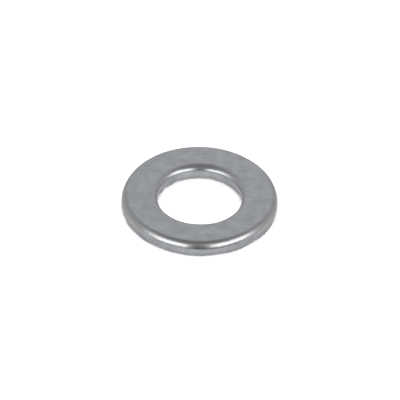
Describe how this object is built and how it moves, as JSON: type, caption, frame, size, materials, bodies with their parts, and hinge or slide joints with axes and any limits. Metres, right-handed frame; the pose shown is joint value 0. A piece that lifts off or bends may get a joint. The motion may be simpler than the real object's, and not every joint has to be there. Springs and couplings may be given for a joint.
{
  "type": "flat washer",
  "caption": "Round flat steel washer with rolled upper edges and plain punched walls, which spreads a bolt's load over the surface below it.",
  "frame": {"origin": "centre of the bolt hole, on the lower face that lies on the work", "axes": "+Z along the bolt hole's axis, from the lower face to the upper face with the rolled edges; X and Y lie in the lower face, and the washer is the same all round, so neither has a direction of its own"},
  "size_m": [0.024, 0.024, 0.0024],
  "materials": {
    "steel": "tumbled: dull satin faces, brighter rolled edges, faint upright draw lines on the sheared walls"
  },
  "bodies": {
    "root": {"flat_washer": "steel"}
  },
  "joints": []
}
